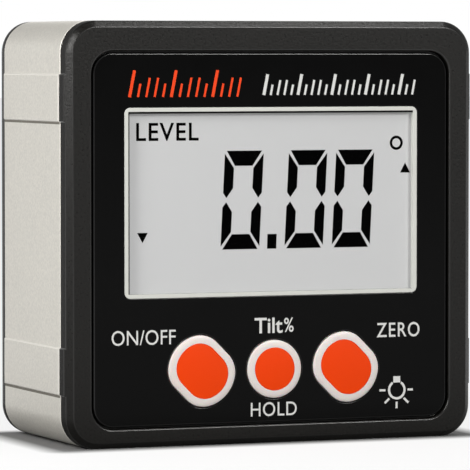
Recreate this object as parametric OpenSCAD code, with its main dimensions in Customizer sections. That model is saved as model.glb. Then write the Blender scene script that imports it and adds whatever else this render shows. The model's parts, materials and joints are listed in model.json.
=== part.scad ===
// Digital angle gauge: an aluminium frame closed by a front bezel and a rear cover.
// X runs to the right, Y from the front to the back, Z up from the base. Millimetres.

/* [Case] */
// Width between the plain sides
case_w = 58; // [57:0.5:64]
// Height of the case
case_h = 56; // [55:0.5:62]
// Depth of the aluminium frame
frame_depth = 22.4; // [21:0.1:30]
// Outer corner radius
corner_r = 4.2; // [3.6:0.1:5]
// Side and top wall of the frame
frame_wall = 2; // [1.6:0.1:2.3]
// Base wall of the frame, which holds the magnets
base_wall = 3.2; // [3:0.1:3.6]
// Chamfer on the frame's front and back edges
frame_edge = 0.2; // [0.1:0.05:0.4]

/* [Side lands] */
// Height of the raised lands on the two sides
land_h = 0.2; // [0.1:0.05:0.5]
// Width of one land
land_w = 6.2; // [4:0.1:9]
// Distance of a land from the top or the base
land_inset = 7; // [5:0.1:12]

/* [Front bezel] */
// Side wall of the bezel, front to back
bezel_depth = 2.8; // [2:0.1:3.2]
// Chamfer around the front
bezel_chamfer = 0.8; // [0.4:0.1:1.2]
// Rim at the left and right of the panel
rim_side = 3.35; // [3:0.05:3.6]
// Rim above the panel
rim_top = 3.95; // [3:0.05:4.6]
// Rim below the panel
rim_bottom = 2.5; // [2:0.05:3]
// Depth of the panel below the rim
recess_depth = 0.25; // [0.15:0.05:0.6]
// Corner radius of the recess
recess_r = 3; // [2:0.1:3.6]
// Wall behind the panel
bezel_wall = 1.5; // [1.2:0.1:2]
// Depth of the rims that locate the bezel and the cover in the frame
spigot_depth = 2; // [1.4:0.1:3]
// Thickness of these rims
spigot_wall = 1.1; // [0.8:0.1:1.4]

/* [Front panel] */
// Thickness of the panel
panel_t = 0.8; // [0.7:0.1:1.4]
// Chamfer on the panel's front edge
panel_edge = 0.15; // [0.05:0.05:0.3]
// Distance of the window's white border from the sides of the case
window_side = 8; // [7.4:0.05:9]
// Distance of the border from the top of the case
window_top = 11.4; // [10.8:0.1:13]
// Distance of the border above the key row
window_low = 9.75; // [9.5:0.05:11]
// Outer corner radius of the border
window_r = 0.8; // [0.6:0.05:1.5]
// Width of the white border
border_w = 0.55; // [0.4:0.05:1]
// Thickness of the clear window
lens_t = 0.6; // [0.4:0.05:0.7]

/* [Display] */
// Glass beyond the window on each side
glass_margin = 1.3; // [1:0.1:1.6]
// Thickness of one glass sheet
sheet_t = 1.1; // [0.8:0.05:1.2]
// Wall of the display holder
holder_wall = 1.1; // [0.8:0.1:1.3]
// Thickness of the rubber connector strip
strip_w = 1.8; // [1.4:0.1:2]

/* [Keys] */
// Height of the key row above the base
key_z = 9.85; // [9.8:0.05:10.3]
// Distance between neighbouring keys
key_pitch = 10.35; // [10:0.05:10.8]
// Sideways place of the key row from the middle of the case
key_shift = 0.2; // [-0.4:0.05:0.4]
// Diameter of the round key
round_key_d = 7.7; // [7:0.1:8.2]
// Diameter of the round sides of the two oval keys
oval_key_d = 9.5; // [9:0.05:9.6]
// Width of an oval key across its two flat sides
oval_key_w = 8.3; // [7.8:0.05:8.7]
// Radius of the corners between its round and its flat sides
oval_key_r = 3.3; // [2.8:0.1:3.6]
// Width of the sloped white shoulder
key_shoulder = 0.98; // [0.8:0.01:1.6]
// Flat lip between the shoulder and the coloured top
key_lip = 0.12; // [0.05:0.01:0.3]
// Height of a key above the panel
key_proud = 0.25; // [0.2:0.05:0.6]
// Travel of a key
key_travel = 0.25; // [0.2:0.05:0.4]
// Thickness of the coloured key tops
keytop_t = 0.5; // [0.3:0.05:0.8]
// Overhang of the flange that keeps a key in
flange_w = 0.5; // [0.3:0.05:0.5]
// Thickness of the flange
flange_t = 0.8; // [0.6:0.05:1]

/* [Board] */
// Thickness of the circuit board
board_t = 1.2; // [0.8:0.1:1.6]
// Width of a switch body
switch_w = 6; // [5:0.1:6.4]
// Height of a switch body
switch_h = 2.1; // [1.9:0.1:3]
// Diameter of a switch plunger
plunger_d = 3.4; // [2.8:0.1:3.8]
// Diameter of the posts that carry the board
standoff_d = 4; // [3.4:0.1:4.2]
// Diameter of the board screws
board_screw_d = 1.8; // [1.4:0.1:2]
// Length of a board screw in its post
board_screw_l = 2.8; // [2:0.1:3]
// Width of the controller chip
chip_w = 10; // [8:0.5:11]
// Width of the tilt sensor
sensor_w = 4; // [3:0.5:5]
// Diameter of the clock crystal
crystal_d = 2; // [1.5:0.1:2.4]
// Length of the clock crystal
crystal_l = 6; // [5:0.5:7]
// Length of a capacitor
capacitor_l = 2; // [1.2:0.1:2.4]

/* [Batteries] */
// Diameter of a cell
cell_d = 10.5; // [10:0.1:10.6]
// Distance between the two cells
cell_pitch = 11.2; // [11:0.1:12]
// Length of a fitted contact spring
spring_h = 4.2; // [3.4:0.1:4.6]
// Diameter of a contact spring's wide end
spring_d = 7.2; // [6:0.1:8]
// Wire diameter of the springs
spring_wire = 0.6; // [0.4:0.05:0.7]
// Thickness of the contact plates
contact_t = 0.4; // [0.2:0.05:0.5]
// Wall of the battery tray
tray_wall = 1.2; // [1:0.1:1.4]
// Room between the tray and the sides of the frame
tray_gap = 1.05; // [0.8:0.05:1.4]

/* [Rear cover] */
// Depth of the rear cover behind the frame
rear_depth = 1.8; // [1.7:0.1:2.6]
// Chamfer around the back
rear_chamfer = 0.8; // [0.4:0.1:1.2]
// Thickness of the battery door
door_t = 1.6; // [1.4:0.1:1.7]
// Width of a door tab
tab_w = 6; // [4:0.5:8]
// Length of a door tab
tab_l = 1.4; // [0.8:0.1:1.8]
// Width of the door's latch tongue
latch_w = 11; // [8:0.5:16]

/* [Fasteners] */
// Diameter of the case screws
screw_d = 2.5; // [2:0.1:2.6]
// Diameter of their heads
screw_head_d = 4.6; // [4:0.1:4.8]
// Height of their heads
screw_head_h = 1.7; // [1.4:0.1:1.8]

/* [Magnets] */
// Diameter of a base magnet
magnet_d = 10; // [8:0.5:12]
// Thickness of a base magnet
magnet_t = 2; // [1.5:0.1:2.2]
// Distance of the outer magnets from the sides of the case
magnet_inset = 7; // [6:0.5:8]

/* [Fits] */
// Clearance of the rims in the frame
fit_gap = 0.15; // [0.05:0.05:0.25]
// Clearance around the panel
panel_gap = 0.25; // [0.1:0.05:0.35]
// Clearance around the keys
key_gap = 0.15; // [0.1:0.05:0.2]
// Clearance around the battery door
door_gap = 0.2; // [0.15:0.05:0.3]
// Clearance around seated and guided round pieces
bore_gap = 0.05; // [0.02:0.01:0.08]
// Clearance around a cell
cell_gap = 0.25; // [0.15:0.05:0.4]

/* [Hidden] */
$fn = 96;

// Depths from the bezel's front face to the planes of the stack
frame_rear = bezel_depth + frame_depth;
rear_face = frame_rear + rear_depth;
key_front = recess_depth - key_proud;
mid_depth = (rear_face + key_front) / 2;
pocket_floor = recess_depth + panel_t;
wall_rear = pocket_floor + bezel_wall;
flange_front = wall_rear + 0.05;
flange_rear = flange_front + flange_t;
switch_front = flange_rear + key_travel + 0.15;
board_front = switch_front + switch_h;
board_rear = board_front + board_t;
glass_front = pocket_floor + 0.05;
glass_rear = glass_front + 2 * sheet_t;
post_end = board_rear + 3.8;
door_inner = rear_face - door_t;
cell_depth = door_inner - 0.3 - cell_d / 2;
bay_floor = cell_depth - cell_d / 2 - 0.1;
tray_front = bay_floor - tray_wall;
tail_end = (tray_front + board_rear) / 2;

// Outlines derived from the case
inner_w = case_w - 2 * frame_wall;
inner_h = case_h - frame_wall - base_wall;
inner_r = corner_r - frame_wall;
pocket_w = case_w - 2 * rim_side;
pocket_h = case_h - rim_top - rim_bottom;
window_w = case_w - 2 * window_side;
window_h = case_h - window_top - key_z - window_low;
window_z = key_z + window_low + window_h / 2;
lens_w = window_w - 2 * border_w;
lens_h = window_h - 2 * border_w;
glass_w = lens_w + 2 * glass_margin;
glass_h = lens_h + 2 * (glass_margin + 0.55);
glass_z = window_z - 0.3;
strip_z = glass_z - glass_h / 2 + 0.2 + strip_w / 2;
guide_z0 = strip_z + strip_w / 2 + 0.4;
holder_gap = 0.2;
holder_top = glass_z + glass_h / 2 + holder_gap + holder_wall;
key_x = [key_shift - key_pitch, key_shift, key_shift + key_pitch];
oval_core = [oval_key_w, oval_key_d] / 2 - [oval_key_r, oval_key_r];
oval_turn = acos(oval_core[0] / oval_core[1]);
oval_end = oval_core[1] * sin(oval_turn);

// Posts, screws and board
rear_post_d = screw_head_d + 2;
front_post_d = 5.2;
post_x = case_w / 2 - frame_wall - 0.2 - rear_post_d / 2;
post_top = case_h - frame_wall - 0.2 - rear_post_d / 2;
post_low = base_wall + 0.2 + rear_post_d / 2;
post_places = [for (x = [-post_x, post_x], z = [post_low, post_top]) [x, z]];
board_low = base_wall + 0.5;
board_high = case_h - frame_wall - 0.5;
standoff_top = board_high - standoff_d / 2 - 0.4;
standoff_low = key_z + 1.1;
standoff_x = key_pitch + oval_key_d / 2 + flange_w + standoff_d / 2 + 1.4;
standoff_places = [for (x = [-1, 1]) each [[x * (glass_w / 2 - 9.8), standoff_top],
    [x * standoff_x, standoff_low]]];
board_half = inner_w / 2 - 0.6;
chip_x = -board_half * 0.38;
magnet_pitch = (case_w - magnet_d) / 2 - magnet_inset;
head_sink = 2.2;

// Battery bay
rebate_w = inner_w - 2 * tray_gap;
bay_l = rebate_w - 2 * tray_wall;
cell_l = bay_l - spring_h - 2 * contact_t;
bay_h = cell_pitch + cell_d + 2 * cell_gap;
bay_z = case_h / 2;
rebate_h = bay_h + 2 * tray_wall;
door_r = 1.2;
hinge_r = door_t / 2;
hinge_depth = rear_face - hinge_r;
hinge_z = bay_z + rebate_h / 2 - door_gap - hinge_r;
plate_half = 4;
cell_y = cell_depth - mid_depth;

// Shared outlines and solids

// A rectangle with round corners about its centre
module rounded_rect(w, h, r) {
    square([w - 2 * r, h], center = true);
    square([w, h - 2 * r], center = true);
    for (x = [-1, 1], y = [-1, 1])
        translate([x * (w / 2 - r), y * (h / 2 - r)])
            circle(r);
}

// An outline drawn in X and Z, filled from one depth to another
module slab(from, to) {
    translate([0, to - mid_depth, 0])
        rotate([90, 0, 0])
            linear_extrude(to - from)
                children();
}

// A rod along Y at a place in X and Z
module rod(place, d, from, to) {
    translate([place[0], from - mid_depth, place[1]])
        rotate([-90, 0, 0])
            cylinder(d = d, h = to - from);
}

// A box from its X, depth and Z limits
module block(x, depth, z) {
    translate([x[0], depth[0] - mid_depth, z[0]])
        cube([x[1] - x[0], depth[1] - depth[0], z[1] - z[0]]);
}

// Edge line of a chamfered plate, as depth and half width
function edge_line(half, from, to, front_c, rear_c) = concat(
    front_c > 0 ? [[from, half - front_c], [from + front_c, half]] : [[from, half]],
    rear_c > 0 ? [[to - rear_c, half], [to, half - rear_c]] : [[to, half]]);

// A plate with round corners whose front or back edge is chamfered, standing on height z0
module chamfered_plate(w, h, r, z0, from, to, front_c, rear_c) {
    upright = edge_line(h / 2, from - mid_depth, to - mid_depth, front_c, rear_c);
    across = edge_line(w / 2, from - mid_depth, to - mid_depth, front_c, rear_c);
    corner = edge_line(r, from - mid_depth, to - mid_depth, front_c, rear_c);
    last = len(corner) - 1;
    translate([0, 0, z0 + h / 2]) {
        translate([r - w / 2, 0, 0])
            rotate([90, 0, 90])
                linear_extrude(w - 2 * r)
                    polygon(concat(upright, [for (i = [last:-1:0]) [upright[i][0], -upright[i][1]]]));
        translate([0, 0, r - h / 2])
            linear_extrude(h - 2 * r)
                polygon(concat([for (p = across) [p[1], p[0]]],
                    [for (i = [last:-1:0]) [-across[i][1], across[i][0]]]));
        for (x = [-1, 1], z = [-1, 1])
            translate([x * (w / 2 - r), 0, z * (h / 2 - r)])
                rotate([-90, 0, 0])
                    rotate_extrude()
                        polygon(concat([[0, corner[0][0]]], [for (p = corner) [p[1], p[0]]],
                            [[0, corner[last][0]]]));
    }
}

// The raised lands on both sides over a range of depth
module side_lands(from, to, front_c, rear_c) {
    x0 = case_w / 2;
    for (side = [0, 1], z = [land_inset, case_h - land_inset - land_w])
        mirror([side, 0, 0])
            translate([0, -mid_depth, z])
                linear_extrude(land_w)
                    polygon([[x0 - 0.6, from], [x0, from], [x0 + land_h, from + front_c],
                        [x0 + land_h, to - rear_c], [x0, to], [x0 - 0.6, to]]);
}

// The rim of the bezel or the cover that enters the frame
module spigot_outline(inset) {
    translate([0, base_wall + inner_h / 2])
        rounded_rect(inner_w - 2 * inset, inner_h - 2 * inset, max(inner_r - inset, 0.5));
}

// Points along an arc, without the given number of points at each end
function arc(centre, r, from, to, skip = 0) = [for (i = [skip:8 - skip])
    let(a = from + (to - from) * i / 8) centre + r * [cos(a), sin(a)]];

// An oval key's outline with its flat sides upright: corner, round side, corner, and the same turned round
function oval_line(grow) = let(half = concat(
    arc([oval_core[0], oval_end], oval_key_r + grow, 0, oval_turn),
    arc([0, 0], oval_key_d / 2 + grow, oval_turn, 180 - oval_turn, 1),
    arc([-oval_core[0], oval_end], oval_key_r + grow, 180 - oval_turn, 180)))
    concat(half, -half);

// Outline of a key at its place, grown by a margin
module key_outline(i, grow) {
    translate([key_x[i], key_z]) {
        if (i == 1)
            circle(d = round_key_d + 2 * grow);
        else
            rotate(45)
                polygon(oval_line(grow));
    }
}

// Half section of a key's rounded shoulder, as radius and height above the key's flange
function shoulder_line(r, base, top) = let(slope = key_shoulder - key_lip) concat(
    [[0, 0], [r, 0], [r, base]],
    [for (a = [18:18:72]) [r - slope * (1 - cos(a)), base + (top - base) * sin(a)]],
    [[r - slope, top], [0, top]]);

// An oval key: its outline lofted from the flange over the rounded shoulder into the seat of its coloured top
module oval_key(base, top) {
    line = shoulder_line(0, base, top);
    rows = concat([[flange_w, -flange_t], [flange_w, 0]], [for (i = [1:len(line) - 2]) line[i]],
        [[-key_shoulder, top], [-key_shoulder, top - keytop_t]]);
    n = len(oval_line(0));
    last = len(rows) - 1;
    polyhedron(
        points = [for (row = rows, p = oval_line(row[0])) [p[0], p[1], row[1]]],
        faces = concat(
            [for (j = [0:last - 1], i = [0:n - 1]) let(k = (i + 1) % n)
                [j * n + i, (j + 1) * n + i, (j + 1) * n + k, j * n + k]],
            [[for (i = [0:n - 1]) i], [for (i = [n - 1:-1:0]) last * n + i]]));
}

// A round key: revolved shoulder and flange with a seat for its coloured top
module round_key(base, top) {
    difference() {
        union() {
            rotate_extrude()
                polygon(shoulder_line(round_key_d / 2, base, top));
            translate([0, 0, -flange_t])
                cylinder(d = round_key_d + 2 * flange_w, h = flange_t);
        }
        translate([0, 0, top - keytop_t])
            cylinder(d = round_key_d - 2 * key_shoulder, h = 2 * keytop_t);
    }
}

// A key at its place, standing on its flange with its top to the front
module key_body(i) {
    top = flange_front - key_front;
    base = flange_front - recess_depth + 0.05;
    translate([key_x[i], flange_front - mid_depth, key_z])
        rotate([90, 0, 0]) {
            if (i == 1)
                round_key(base, top);
            else
                rotate([0, 0, 45])
                    oval_key(base, top);
        }
}

// The coloured top of a key
module keytop(i) {
    slab(key_front, key_front + keytop_t)
        key_outline(i, -key_shoulder);
}

// A push switch on the board, with a bore for its plunger
module switch_body(i) {
    x = key_x[i];
    half = switch_w / 2;
    difference() {
        union() {
            block([x - half, x + half], [switch_front, board_front], [key_z - half, key_z + half]);
            for (dz = [-2, 2])
                block([x - half - 0.7, x + half + 0.7], [board_front - 0.3, board_front],
                    [key_z + dz - 0.4, key_z + dz + 0.4]);
        }
        rod([x, key_z], plunger_d + 2 * bore_gap, switch_front - 1, board_front - 0.5);
    }
}

// The plunger between a switch and its key
module plunger(i) {
    rod([key_x[i], key_z], plunger_d, flange_rear, board_front - 0.6 - key_travel);
}

// A screw along Y with a cross in its head, head towards the back
module screw(place, d, head_d, head_h, tip, seat) {
    cross_l = head_d * 0.56;
    difference() {
        union() {
            rod(place, d, tip, seat);
            rod(place, head_d, seat, seat + head_h);
        }
        for (turn = [0, 90])
            translate([place[0], seat + head_h - mid_depth, place[1]])
                rotate([0, turn, 0])
                    cube([cross_l, head_h, head_d * 0.14], center = true);
    }
}

// Rings of points around a path, for wires and springs
function unit(v) = v / norm(v);
function heading(path, i) = unit(path[min(i + 1, len(path) - 1)] - path[max(i - 1, 0)]);
function ring(p, t, up, r, n) = let(a = unit(cross(t, up)), b = cross(a, t))
    [for (k = [0:n - 1]) p + r * (cos(360 * k / n) * a + sin(360 * k / n) * b)];

// A round wire along a path, with the direction that stands off it at each point
module wire(path, ups, r) {
    n = 8;
    count = len(path);
    points = [for (i = [0:count - 1]) each ring(path[i], heading(path, i), ups[i], r, n)];
    sides = [for (i = [0:count - 2], k = [0:n - 1])
        [i * n + k, (i + 1) * n + k, (i + 1) * n + (k + 1) % n, i * n + (k + 1) % n]];
    caps = [[for (k = [0:n - 1]) k], [for (k = [n - 1:-1:0]) (count - 1) * n + k]];
    polyhedron(points, concat(sides, caps), convexity = 6);
}

// A conical contact spring along X, closed at both ends
module contact_spring(x0, way, z) {
    turns = 4.5;
    steps = 63;
    rise = spring_h - spring_wire;
    lift = [for (i = [0:steps]) min(max((i / steps * turns - 0.7) / (turns - 1.4), 0), 1)];
    radius = [for (i = [0:steps]) spring_d * (0.5 - 0.18 * i / steps)];
    turn = [for (i = [0:steps]) 360 * turns * i / steps];
    path = [for (i = [0:steps])
        [x0 + way * (spring_wire / 2 + rise * lift[i]), cell_y + radius[i] * cos(turn[i]),
            z + radius[i] * sin(turn[i])]];
    wire(path, [for (i = [0:steps]) [0, cos(turn[i]), sin(turn[i])]], spring_wire / 2);
}

// A contact plate at one end of the bay, with a tail through the tray floor where asked
module contact_plate(side, z, tail) {
    x1 = bay_l / 2;
    mirror([side < 0 ? 1 : 0, 0, 0]) {
        block([x1 - contact_t, x1], [cell_depth - plate_half, cell_depth + plate_half],
            [z[0] - plate_half, z[1] + plate_half]);
        if (tail)
            block([x1 - contact_t, x1], [tail_end - 1, cell_depth], [z[0] - 1.2, z[0] + 1.2]);
    }
}

// A lead from the tail of a contact plate to the back of the board
module lead(z) {
    a = [bay_l / 2 - contact_t, tail_end - mid_depth, z];
    d = [bay_l / 2 - contact_t - 4.5, board_rear - mid_depth, z];
    b = a - [3.5, 0, 0];
    c = d + [0, 1.6, 0];
    curve = [for (i = [0:14]) let(t = i / 14, s = 1 - t)
        s * s * s * a + 3 * s * s * t * b + 3 * s * t * t * c + t * t * t * d];
    wire(curve, [for (p = curve) [0, 0, 1]], 0.5);
}

// A cell along X, its button towards one side
module cell(way, z) {
    plate = bay_l / 2 - contact_t;
    translate([way * plate, cell_y, z])
        rotate([0, -90 * way, 0]) {
            cylinder(d = 3.8, h = 1);
            translate([0, 0, 0.8])
                cylinder(d = cell_d, h = cell_l - 0.8);
        }
}

// Pieces of the case

module side_frame() {
    color("#cdcac2")
        difference() {
            union() {
                chamfered_plate(case_w, case_h, corner_r, 0, bezel_depth, frame_rear, frame_edge,
                    frame_edge);
                side_lands(bezel_depth + frame_edge, frame_rear - frame_edge, land_h, land_h);
            }
            slab(bezel_depth - 1, frame_rear + 1)
                spigot_outline(0);
            for (i = [-1:1])
                translate([i * magnet_pitch, bezel_depth + frame_depth / 2 - mid_depth, -1])
                    cylinder(d = magnet_d + 2 * bore_gap, h = magnet_t + 1.1);
        }
}

module base_magnets() {
    color("#b9bcc0")
        for (i = [-1:1])
            translate([i * magnet_pitch, bezel_depth + frame_depth / 2 - mid_depth, 0.1])
                cylinder(d = magnet_d, h = magnet_t);
}

module front_bezel() {
    color("#30302e")
        difference() {
            union() {
                difference() {
                    union() {
                        chamfered_plate(case_w, case_h, corner_r, 0, 0, bezel_depth, bezel_chamfer, 0);
                        side_lands(bezel_chamfer, bezel_depth, land_h, 0);
                        slab(bezel_depth - 0.2, bezel_depth + spigot_depth)
                            spigot_outline(fit_gap);
                    }
                    slab(wall_rear, bezel_depth + spigot_depth + 1)
                        spigot_outline(fit_gap + spigot_wall);
                }
                for (p = post_places)
                    rod(p, front_post_d, wall_rear - 0.3, post_end);
                for (p = standoff_places)
                    rod(p, standoff_d, wall_rear - 0.3, board_front);
            }
            slab(-1, pocket_floor)
                translate([0, rim_bottom + pocket_h / 2])
                    rounded_rect(pocket_w, pocket_h, recess_r);
            slab(pocket_floor - 1, wall_rear + 1)
                translate([0, glass_z])
                    square([glass_w + 2 * holder_gap, glass_h + 2 * holder_gap], center = true);
            for (i = [0:2]) {
                slab(pocket_floor - 1, wall_rear + 1)
                    key_outline(i, key_gap);
                slab(wall_rear, flange_rear + key_travel + 2)
                    key_outline(i, flange_w + 0.2);
            }
            for (p = post_places)
                rod(p, screw_d + 0.04, wall_rear, post_end + 1);
            for (p = standoff_places)
                rod(p, board_screw_d + 0.04, wall_rear, board_front + 1);
        }
}

module front_panel() {
    w = pocket_w - 2 * panel_gap;
    h = pocket_h - 2 * panel_gap;
    color("#151515")
        difference() {
            chamfered_plate(w, h, recess_r - panel_gap, rim_bottom + panel_gap, recess_depth,
                pocket_floor, panel_edge, 0);
            slab(recess_depth - 1, pocket_floor + 1)
                translate([0, window_z])
                    rounded_rect(window_w, window_h, window_r);
            for (i = [0:2])
                slab(recess_depth - 1, pocket_floor + 1)
                    key_outline(i, key_gap);
        }
}

module window_frame() {
    color("#e6e7e2")
        slab(recess_depth, pocket_floor)
            translate([0, window_z])
                difference() {
                    rounded_rect(window_w, window_h, window_r);
                    square([lens_w, lens_h], center = true);
                }
}

module window_lens() {
    color("#dfe4e6", 0.3)
        slab(pocket_floor - lens_t, pocket_floor)
            translate([0, window_z])
                square([lens_w, lens_h], center = true);
}

// Display and board

module display_glass() {
    half = glass_w / 2;
    low = glass_z - glass_h / 2;
    color("#c9cbc8") {
        block([-half, half], [glass_front, glass_front + sheet_t], [low, low + glass_h]);
        block([-half, half], [glass_front, glass_rear], [guide_z0, low + glass_h]);
    }
}

module backlight_panel() {
    half = glass_w / 2;
    color("#eceee8")
        difference() {
            block([-half, half], [glass_rear, board_front], [guide_z0, glass_z + glass_h / 2]);
            block([half - 2.4, half + 1], [board_front - 1.4, board_front + 1],
                [window_z - 1.8, window_z + 1.8]);
        }
}

module backlight_led() {
    half = glass_w / 2;
    color("#f2efdc")
        block([half - 2.2, half - 0.4], [board_front - 1.2, board_front], [window_z - 1.6, window_z + 1.6]);
}

module display_connector() {
    color("#8a8f98")
        block([3 - glass_w / 2, glass_w / 2 - 3], [glass_front + sheet_t, board_front],
            [strip_z - strip_w / 2, strip_z + strip_w / 2]);
}

module display_holder() {
    color("#d9dad6")
        slab(wall_rear + 0.05, board_front)
            translate([0, glass_z])
                difference() {
                    square([glass_w + 2 * (holder_gap + holder_wall),
                        glass_h + 2 * (holder_gap + holder_wall)], center = true);
                    square([glass_w + 2 * holder_gap, glass_h + 2 * holder_gap], center = true);
                }
}

module main_board() {
    half = board_half;
    notch = front_post_d / 2 + 0.5;
    color("#1f6b45")
        difference() {
            block([-half, half], [board_front, board_rear], [board_low, board_high]);
            for (p = post_places) {
                x0 = p[0] < 0 ? -half - 1 : p[0] - notch;
                x1 = p[0] < 0 ? p[0] + notch : half + 1;
                z0 = p[1] < case_h / 2 ? board_low - 1 : p[1] - notch;
                z1 = p[1] < case_h / 2 ? p[1] + notch : board_high + 1;
                block([x0, x1], [board_front - 1, board_rear + 1], [z0, z1]);
            }
            for (p = standoff_places)
                rod(p, board_screw_d + 0.4, board_front - 1, board_rear + 1);
        }
}

module board_screws() {
    color("#b4b6b8")
        for (p = standoff_places)
            screw(p, board_screw_d, board_screw_d * 1.9, board_screw_d * 0.6, board_front - board_screw_l,
                board_rear);
}

module tilt_sensor() {
    half = sensor_w / 2;
    x = board_half * 0.38;
    color("#26282b")
        block([x - half, x + half], [board_rear, board_rear + sensor_w * 0.28], [bay_z - half, bay_z + half]);
}

module controller_chip() {
    half = chip_w / 2;
    pin = chip_w * 0.03;
    z = bay_z - 1;
    color("#1c1d20") {
        block([chip_x - half, chip_x + half], [board_rear + 0.1, board_rear + chip_w * 0.14],
            [z - half, z + half]);
        for (i = [-2.5:2.5]) {
            along = chip_w * 0.16 * i;
            block([chip_x - half * 1.2, chip_x + half * 1.2], [board_rear, board_rear + chip_w * 0.03],
                [z + along - pin, z + along + pin]);
            block([chip_x + along - pin, chip_x + along + pin], [board_rear, board_rear + chip_w * 0.03],
                [z - half * 1.2, z + half * 1.2]);
        }
    }
}

module clock_crystal() {
    color("#c3c5c8")
        translate([-crystal_l * 0.7, board_rear + crystal_d / 2 - mid_depth, bay_z + chip_w])
            rotate([0, 90, 0])
                cylinder(d = crystal_d, h = crystal_l);
}

module board_capacitors() {
    half = capacitor_l / 2;
    color("#b08d5a")
        for (p = [[0.23, 8], [0.23, 5], [0.57, -3], [0.57, 0], [-0.68, 8]])
            block([board_half * p[0] - half, board_half * p[0] + half],
                [board_rear, board_rear + capacitor_l * 0.45],
                [bay_z + p[1] - half * 0.6, bay_z + p[1] + half * 0.6]);
}

module on_off_switch() {
    color("#2a2b2d")
        switch_body(0);
}

module hold_switch() {
    color("#2a2b2d")
        switch_body(1);
}

module zero_switch() {
    color("#2a2b2d")
        switch_body(2);
}

// Keys

module on_off_plunger() {
    color("#e8e4d8")
        plunger(0);
}

module hold_plunger() {
    color("#e8e4d8")
        plunger(1);
}

module zero_plunger() {
    color("#e8e4d8")
        plunger(2);
}

module on_off_key() {
    color("#e4e1e1")
        key_body(0);
}

module hold_key() {
    color("#e4e1e1")
        key_body(1);
}

module zero_key() {
    color("#e4e1e1")
        key_body(2);
}

module on_off_keytop() {
    color("#ee4a18")
        keytop(0);
}

module hold_keytop() {
    color("#ee4a18")
        keytop(1);
}

module zero_keytop() {
    color("#ee4a18")
        keytop(2);
}

// Rear cover, battery door and cells

// Outline of the door opening, or of the door itself when it is inset by the clearance
module door_outline(inset) {
    h = rebate_h - 2 * inset;
    translate([0, bay_z]) {
        rounded_rect(rebate_w - 2 * inset, h, door_r - inset);
        translate([0, h / 4])
            square([rebate_w - 2 * inset, h / 2], center = true);
    }
}

module rear_cover() {
    tab_half = tab_w / 2 + 0.3;
    color("#2c2c2b") {
        block([6 - bay_l / 2, bay_l / 2 - 6], [bay_floor - 0.2, cell_depth - cell_d * 0.3],
            [bay_z - 0.6, bay_z + 0.6]);
        difference() {
            union() {
                chamfered_plate(case_w, case_h, corner_r, 0, frame_rear, rear_face, 0, rear_chamfer);
                slab(frame_rear - spigot_depth, frame_rear + 0.2)
                    difference() {
                        spigot_outline(fit_gap);
                        spigot_outline(fit_gap + spigot_wall);
                    }
                block([-rebate_w / 2, rebate_w / 2], [tray_front, frame_rear + 0.2],
                    [bay_z - rebate_h / 2, bay_z + rebate_h / 2]);
                for (p = post_places)
                    rod(p, rear_post_d, post_end, frame_rear + 0.2);
            }
            block([-bay_l / 2, bay_l / 2], [bay_floor, rear_face + 1],
                [bay_z - bay_h / 2, bay_z + bay_h / 2]);
            slab(door_inner - 0.05, rear_face + 1)
                door_outline(0);
            for (x = [-1, 1])
                block([x * rebate_w / 4 - tab_half, x * rebate_w / 4 + tab_half],
                    [hinge_depth - tab_l - hinge_r - 0.6, hinge_depth + 0.05],
                    [hinge_z - 0.9, hinge_z + hinge_r + tab_l + 0.4]);
            for (p = post_places) {
                rod(p, screw_d + 0.3, post_end - 1, rear_face);
                rod(p, screw_head_d + 0.3, rear_face - head_sink, rear_face + 1);
            }
            for (z = [-cell_pitch / 2, cell_pitch / 2])
                block([bay_l / 2 - contact_t - 0.15, bay_l / 2], [tray_front - 1, bay_floor + 1],
                    [bay_z + z - 1.4, bay_z + z + 1.4]);
        }
    }
}

module case_screws() {
    color("#3a3b3d")
        for (p = post_places)
            screw(p, screw_d, screw_head_d, screw_head_h, wall_rear + 1.5, rear_face - head_sink);
}

module battery_door() {
    low = bay_z - rebate_h / 2 + door_gap;
    slot_h = 5;
    color("#2c2c2b")
        difference() {
            union() {
                intersection() {
                    union() {
                        block([-rebate_w / 2, rebate_w / 2], [door_inner, rear_face], [low, hinge_z]);
                        translate([-rebate_w / 2, hinge_depth - mid_depth, hinge_z])
                            rotate([0, 90, 0])
                                cylinder(r = hinge_r, h = rebate_w);
                    }
                    slab(door_inner - 1, rear_face + 1)
                        door_outline(door_gap);
                }
                for (x = [-1, 1])
                    block([x * rebate_w / 4 - tab_w / 2, x * rebate_w / 4 + tab_w / 2],
                        [door_inner, hinge_depth - 0.1], [hinge_z, hinge_z + hinge_r + tab_l]);
                translate([-2, hinge_depth - mid_depth, low])
                    rotate([0, 90, 0])
                        cylinder(r = door_gap * 0.6, h = 4);
            }
            for (x = [-1, 1])
                block([x * latch_w / 2 - 0.35, x * latch_w / 2 + 0.35], [door_inner - 1, rear_face + 1],
                    [low - 1, low + slot_h]);
            for (i = [0:3])
                block([-latch_w / 2 + 1.2, latch_w / 2 - 1.2], [rear_face - 0.4, rear_face + 1],
                    [low + 1.2 + 1.1 * i, low + 1.7 + 1.1 * i]);
        }
}

module battery_upper() {
    color("#c98a2d")
        cell(1, bay_z + cell_pitch / 2);
}

module battery_lower() {
    color("#c98a2d")
        cell(-1, bay_z - cell_pitch / 2);
}

module link_contact() {
    color("#c9c4b2")
        contact_plate(-1, [bay_z - cell_pitch / 2, bay_z + cell_pitch / 2], false);
}

module positive_contact() {
    color("#c9c4b2")
        contact_plate(1, [bay_z + cell_pitch / 2, bay_z + cell_pitch / 2], true);
}

module negative_contact() {
    color("#c9c4b2")
        contact_plate(1, [bay_z - cell_pitch / 2, bay_z - cell_pitch / 2], true);
}

module upper_spring() {
    color("#cfd0d0")
        contact_spring(contact_t - bay_l / 2, 1, bay_z + cell_pitch / 2);
}

module lower_spring() {
    color("#cfd0d0")
        contact_spring(bay_l / 2 - contact_t, -1, bay_z - cell_pitch / 2);
}

module positive_lead() {
    color("#b3241c")
        lead(bay_z + cell_pitch / 2);
}

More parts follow.
